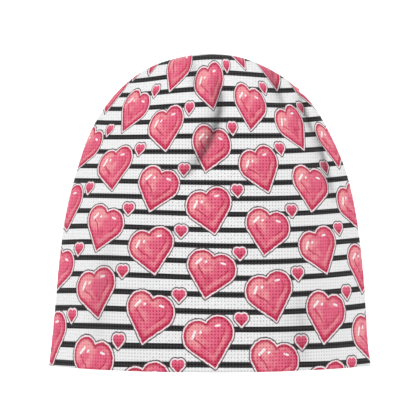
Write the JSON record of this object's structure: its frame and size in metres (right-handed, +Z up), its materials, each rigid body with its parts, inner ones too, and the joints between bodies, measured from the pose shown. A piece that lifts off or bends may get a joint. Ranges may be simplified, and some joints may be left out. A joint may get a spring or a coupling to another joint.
{
  "type": "printed beanie",
  "caption": "Close-fitting knit beanie sewn from a front and a back panel, with a rounded crown, soft folds and an open rim turned up inside as a hem.",
  "frame": {"origin": "on the floor at the middle of the box around the hat, so in the middle of the rim", "axes": "+X from side seam to side seam, to the right seen from the front; +Y from front to back; +Z up to the crown"},
  "size_m": [0.212, 0.1124, 0.205],
  "materials": {
    "front_cloth": "matt printed knit",
    "back_cloth": "matt printed knit"
  },
  "bodies": {
    "root": {"front_panel": "front_cloth", "back_panel": "back_cloth"}
  },
  "joints": []
}
